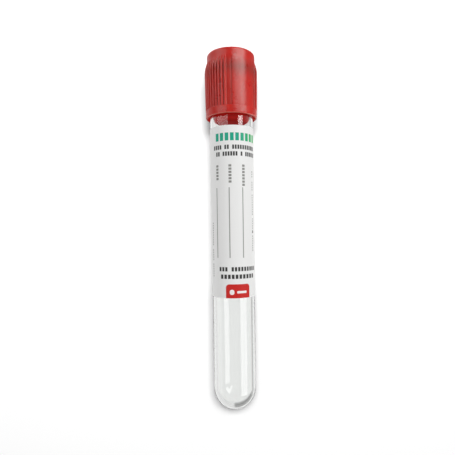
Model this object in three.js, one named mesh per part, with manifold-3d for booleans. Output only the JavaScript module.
// An evacuated blood collection tube of 6 ml: a moulded round-bottomed tube with a wrap-round label, shut by a
// rubber stopper that sits inside a ribbed safety cap. The needle goes through the hole in the cap's top and
// pierces the stopper; to open the tube, cap and stopper are pulled off together.
//
// Millimetres, +Z up. The tube lies on its side along Y with the cap towards +Y, resting on the cap's band and on
// the start of its round bottom. Each piece is drawn along its own +Y axis; angles about that axis start at +Z
// and grow towards +X.

import * as THREE from "three";
import { mergeVertices } from "three/addons/utils/BufferGeometryUtils.js";
import Module from "manifold-3d";

// Tube
const tubeLength = 100;
const mouthRadius = 6.5;
const tubeDraft = 0.1; // the outside is this much slimmer where the round bottom starts
const mouthWall = 1.0;
const wallGain = 0.1; // the wall is this much thicker where the round bottom starts
const bottomWall = 1.3;
const mouthRounding = 0.3;

// Label
const labelHeight = 50.5;
const labelWidth = 35;
const labelThickness = 0.1;
const labelBelowMouth = 14.6;
const labelTurn = 12; // degrees, to the middle of the print
const glueLine = 0.05;

// Stopper, along +Y from the tube's mouth
const plugLength = 13.2;
const plugClearance = 0.05;
const plugEndHeight = 2.0; // of the rounding at the plug's end
const plugEndInset = 1.6;
const sealRings = 3;
const sealGrooveDepth = 0.25;
const sealGrooveHeight = 1.3;
const flangeOverhang = 0.22; // beyond the tube's outside
const flangeHeight = 3.5;
const flangeSeatGap = 0.1;
const bossRadius = 4.4;
const bossHeight = 2.1;
const wellMouthRadius = 3.3;
const wellThroatRadius = 3.0;
const wellThroatDepth = 4.6;
const wellFloorRadius = 1.2;
const septumThickness = 6.9;

// Cap, along +Y from the tube's mouth
const skirtLength = 11.3;
const capAboveMouth = 7.9;
const tubeClearance = 0.1; // between the tube and the cap's bore
const skirtWall = 0.52; // beside the thumb panels, where it is thinnest
const seatClearance = 0.06; // round the stopper's flange and boss
const bandHeight = 2.3;
const bandRise = 0.66; // this and the rises below stand on that thinnest wall
const lipWall = 0.62;
const lipFlareHeight = 1.8;
const lipRounding = 0.25;
const collarHeight = 2.5;
const collarRise = 0.13;
const collarWall = 0.65;
const hubWall = 0.8;
const topThickness = 1.1;
const topRounding = 0.4;
const holeChamfer = 0.3;
const panelRise = 0.26;
const panelHalfAngle = 29; // degrees
const panelFade = 1.2; // length over which a thumb panel runs out into the collar
const grooveRise = 0.3; // of the floor between the ribs
const grooveFade = 1.4;
const ribRiseLow = 0.71; // at the band
const ribRiseHigh = 0.88; // at the shoulder
const ribWidth = 0.58;
const ribRounding = 0.16;
const ribPitch = 7.5; // degrees
const ribsPerGrip = 13;
const ribFoot = 0.4; // length of the ramp from the band to the rib's full height
const shoulderHeight = 3.1;
const shoulderBend = 0.25; // where the shoulder's curve turns, as a share of its height
const capTurn = 32; // degrees, to the middle of a thumb panel

// Facets
const turnFacets = 60;
const domeFacets = 8;
const roundingFacets = 2;
const shoulderFacets = 5;
const plugEndFacets = 4;
const embed = 0.2; // how far a rib or panel is sunk into the body that carries it

// Sizes that follow
const radians = THREE.MathUtils.degToRad;
const boreRadius = mouthRadius - mouthWall;
const domeRadius = mouthRadius - tubeDraft;
const boreDomeRadius = domeRadius - mouthWall - wallGain;
const plugRadius = boreRadius - plugClearance;
const flangeRadius = mouthRadius + flangeOverhang;
const capBore = mouthRadius + tubeClearance;
const floorRadius = capBore + skirtWall;
const bandRadius = floorRadius + bandRise;
const collarRadius = floorRadius + collarRise;
const panelRadius = floorRadius + panelRise;
const grooveRadius = floorRadius + grooveRise;
const gripHalfAngle = (ribPitch * (ribsPerGrip - 1)) / 2; // degrees, to the middle of a grip's last rib
const bandTop = bandHeight - skirtLength;
const shoulderTop = capAboveMouth - collarHeight;
const flangeTop = flangeSeatGap + flangeHeight;
const bossTop = flangeTop + bossHeight;

const wasm = await Module();
wasm.setup();

/** A closed three.js geometry as a manifold-3d solid, which can be joined and cut. */
function solidOf(geometry) {
  const bare = geometry.clone();
  bare.deleteAttribute("normal");
  bare.deleteAttribute("uv");
  const merged = mergeVertices(bare, 1e-4);
  return new wasm.Manifold(
    new wasm.Mesh({
      numProp: 3,
      vertProperties: new Float32Array(merged.attributes.position.array),
      triVerts: new Uint32Array(merged.index.array),
    }),
  );
}

/** A manifold-3d solid as a three.js geometry. */
function geometryOf(solid) {
  const { vertProperties, triVerts } = solid.getMesh();
  const geometry = new THREE.BufferGeometry();
  geometry.setAttribute("position", new THREE.BufferAttribute(vertProperties, 3));
  geometry.setIndex(new THREE.BufferAttribute(triVerts, 1));
  geometry.computeVertexNormals();
  return geometry;
}

/** A profile of [radius, height] points about the Y axis. Turned by `turn` degrees, it has a flat at the bottom. */
function turned(profile, turn = 0) {
  const points = profile.map((p) => new THREE.Vector2(...p));
  return new THREE.LatheGeometry(points, turnFacets, Math.PI / turnFacets - radians(turn));
}

/** Points on an arc of a profile; angles in degrees from the radial direction, anticlockwise. */
function arc(radius, height, size, from, to, steps) {
  return Array.from({ length: steps + 1 }, (_, i) => {
    const angle = radians(from + ((to - from) * i) / steps);
    return [radius + size * Math.cos(angle), height + size * Math.sin(angle)];
  });
}

/** A pie slice about the Y axis, centred on +Z, for cutting a turned piece to an angle. */
function slice(halfAngle, radius, bottom, top) {
  const middle = -Math.PI / 2; // the shape's -Y becomes +Z once it is stood up
  const shape = new THREE.Shape();
  shape.moveTo(0, 0);
  shape.absarc(0, 0, radius, middle - halfAngle, middle + halfAngle);
  shape.lineTo(0, 0);
  const standing = new THREE.ExtrudeGeometry(shape, {
    depth: top - bottom,
    bevelEnabled: false,
    curveSegments: turnFacets,
  });
  return standing.rotateX(-Math.PI / 2).translate(0, bottom, 0);
}

/** The tube's outside radius at a height above the tip of its round bottom. */
function tubeRadiusAt(height) {
  const drafted = (tubeLength - height) / (tubeLength - domeRadius);
  return mouthRadius - tubeDraft * drafted;
}

/** The tube: drawn up from the tip of its round bottom. */
function tubeGeometry() {
  const boreDomeHeight = bottomWall + boreDomeRadius;
  return turned([
    ...arc(0, domeRadius, domeRadius, -90, 0, domeFacets),
    ...arc(mouthRadius - mouthRounding, tubeLength - mouthRounding, mouthRounding, 0, 90, roundingFacets),
    ...arc(boreRadius + mouthRounding, tubeLength - mouthRounding, mouthRounding, 90, 180, roundingFacets),
    ...arc(0, boreDomeHeight, boreDomeRadius, 0, -90, domeFacets),
  ]);
}

/** The label: drawn up from its lower edge, with a clear window left at the back of the tube. */
function labelGeometry() {
  const bottom = tubeLength - labelBelowMouth - labelHeight;
  const inner = (height) => tubeRadiusAt(bottom + height) + glueLine;
  const sleeve = turned(
    [
      [inner(0), 0],
      [inner(0) + labelThickness, 0],
      [inner(labelHeight) + labelThickness, labelHeight],
      [inner(labelHeight), labelHeight],
      [inner(0), 0],
    ],
    labelTurn,
  );
  const windowHalfAngle = Math.PI - labelWidth / (2 * inner(labelHeight / 2));
  const window = slice(windowHalfAngle, 2 * mouthRadius, -1, labelHeight + 1);
  return geometryOf(solidOf(sleeve).subtract(solidOf(window.rotateY(Math.PI))));
}

/** The plug's side from its end to the mouth: a rounded end, then sealing rings with grooves between them. */
function plugSide() {
  const quarter = arc(0, 0, 1, -90, 0, plugEndFacets).slice(0, -1);
  const side = quarter.map(([across, along]) => [
    plugRadius - plugEndInset * (1 - across),
    plugEndHeight * (1 + along) - plugLength,
  ]);
  const ringPitch = (plugLength - plugEndHeight) / sealRings;
  for (let ring = 0; ring < sealRings; ring++) {
    const start = plugEndHeight - plugLength + ring * ringPitch;
    const end = start + ringPitch - sealGrooveHeight;
    const slope = sealGrooveDepth;
    side.push([plugRadius, start], [plugRadius, end]);
    side.push([plugRadius - sealGrooveDepth, end + slope]);
    side.push([plugRadius - sealGrooveDepth, end + sealGrooveHeight - slope]);
  }
  return side;
}

/** The stopper: a plug with a rounded end, a flange on the tube's rim, and a boss with the needle's well. */
function stopperGeometry() {
  const wellFloor = septumThickness - plugLength;
  return turned([
    [0, -plugLength],
    ...plugSide(),
    [plugRadius - sealGrooveDepth, flangeSeatGap],
    [flangeRadius, flangeSeatGap],
    [flangeRadius, flangeTop],
    [bossRadius, flangeTop],
    [bossRadius, bossTop],
    [wellMouthRadius, bossTop],
    [wellThroatRadius, bossTop - wellThroatDepth],
    [wellFloorRadius, wellFloor],
    [0, wellFloor],
  ]);
}

/** The cap's outside without its grips and panels: lip, band, thinnest wall, collar and rounded top. */
function capBody() {
  const foot = -skirtLength;
  return solidOf(
    turned(
      [
        [0, foot],
        ...arc(bandRadius - lipRounding, foot + lipRounding, lipRounding, -90, 0, roundingFacets),
        [bandRadius, bandTop],
        [floorRadius, bandTop],
        [floorRadius, shoulderTop - collarRise],
        [collarRadius, shoulderTop],
        ...arc(collarRadius - topRounding, capAboveMouth - topRounding, topRounding, 0, 90, roundingFacets),
        [0, capAboveMouth],
      ],
      capTurn,
    ),
  );
}

/** Everything that is hollow in the cap: flared lip, bore, flange seat, ring above the seat and needle hole. */
function capCavity() {
  const foot = -skirtLength;
  const seatRadius = flangeRadius + seatClearance;
  const seatTop = flangeTop + seatClearance;
  const ringRoof = capAboveMouth - topThickness;
  const holeRadius = bossRadius + seatClearance;
  const beyond = capAboveMouth + 1;
  return solidOf(
    turned(
      [
        [0, foot - 1],
        [bandRadius - lipWall, foot - 1],
        [bandRadius - lipWall, foot],
        [capBore, foot + lipFlareHeight],
        [capBore, 0],
        [seatRadius, flangeSeatGap],
        [seatRadius, seatTop],
        [collarRadius - collarWall, seatTop],
        [collarRadius - collarWall, ringRoof],
        [holeRadius + hubWall, ringRoof],
        [holeRadius + hubWall, seatTop],
        [holeRadius, seatTop],
        [holeRadius, capAboveMouth - holeChamfer],
        [holeRadius + holeChamfer, capAboveMouth],
        [holeRadius + holeChamfer, beyond],
        [0, beyond],
      ],
      capTurn,
    ),
  );
}

/** One grip rib on the +X side: its side view, with the curved shoulder, extruded to the rib's width. */
function ribSolid() {
  const inside = capBore;
  const crestHigh = floorRadius + ribRiseHigh;
  const shoulderFoot = shoulderTop - shoulderHeight;
  const side = new THREE.Shape();
  side.moveTo(inside, bandTop - embed);
  side.lineTo(bandRadius - ribRounding, bandTop - embed);
  side.lineTo(bandRadius, bandTop);
  side.lineTo(floorRadius + ribRiseLow, bandTop + ribFoot);
  side.lineTo(crestHigh, shoulderFoot);
  side.quadraticCurveTo(
    crestHigh,
    shoulderFoot + shoulderBend * shoulderHeight,
    collarRadius - embed / 2,
    shoulderTop + embed,
  );
  side.lineTo(inside, shoulderTop + embed);
  const rib = new THREE.ExtrudeGeometry(side, {
    depth: ribWidth - 2 * ribRounding,
    curveSegments: shoulderFacets,
    bevelThickness: ribRounding,
    bevelSize: ribRounding,
    bevelOffset: -ribRounding,
    bevelSegments: roundingFacets,
  });
  return solidOf(rib.translate(0, 0, ribRounding - ribWidth / 2));
}

/** A raised stretch of the cap's side, centred on +Z, from the band up to where it runs out into the collar. */
function raisedSide(radius, halfAngle, fade) {
  const bottom = bandTop - embed;
  const disc = turned(
    [
      [0, bottom],
      [radius, bottom],
      [radius, shoulderTop - fade],
      [collarRadius, shoulderTop],
      [0, shoulderTop],
    ],
    capTurn,
  );
  return solidOf(disc).intersect(
    solidOf(slice(radians(halfAngle), 2 * radius, bottom - 1, capAboveMouth)),
  );
}

/** The safety cap: two ribbed grips and two smooth thumb panels round a turned shell. */
function capGeometry() {
  const panel = raisedSide(panelRadius, panelHalfAngle, panelFade);
  const gripFloor = raisedSide(grooveRadius, gripHalfAngle, grooveFade);
  const rib = ribSolid();
  let cap = capBody();
  for (const side of [0, 180]) {
    cap = cap.add(panel.rotate([0, side, 0]));
    cap = cap.add(gripFloor.rotate([0, side + 90, 0]));
    for (let i = 0; i < ribsPerGrip; i++) {
      const fromMiddle = ribPitch * (i - (ribsPerGrip - 1) / 2);
      cap = cap.add(rib.rotate([0, side + fromMiddle, 0]));
    }
  }
  return geometryOf(cap.subtract(capCavity()));
}

/** How far the tube's axis rises towards the cap when the part lies on a flat surface, in radians. */
function restAngle() {
  const along = tubeLength - skirtLength + lipRounding - domeRadius;
  const reach = Math.hypot(along, bandRadius);
  return Math.atan2(bandRadius, along) - Math.asin(domeRadius / reach);
}

function piece(name, geometry, material) {
  const mesh = new THREE.Mesh(geometry, new THREE.MeshStandardMaterial(material));
  mesh.name = name;
  return mesh;
}

const tube = piece("tube", tubeGeometry(), {
  color: 0xe9eeee,
  roughness: 0.06,
  metalness: 0,
  transparent: true,
  opacity: 0.35,
});

const label = piece("label", labelGeometry(), { color: 0xf0f0ee, roughness: 0.55, metalness: 0 });
label.position.y = tubeLength - labelBelowMouth - labelHeight;
label.rotation.y = radians(labelTurn);

const stopper = piece("rubber_stopper", stopperGeometry(), { color: 0x8a1612, roughness: 0.7, metalness: 0 });

const cap = piece("safety_cap", capGeometry(), { color: 0xc2322b, roughness: 0.4, metalness: 0 });
cap.rotation.y = radians(capTurn);

const closure = new THREE.Group();
closure.position.y = tubeLength;
closure.add(stopper, cap);

const lying = new THREE.Group();
lying.rotation.x = restAngle();
lying.add(tube, label, closure);

const part = new THREE.Group();
part.add(lying);

// The part's origin is the middle of its footprint, on the surface it lies on.
const box = new THREE.Box3().setFromObject(part, true);
const middle = box.getCenter(new THREE.Vector3());
part.position.set(-middle.x, -middle.y, -box.min.z);

export default part;
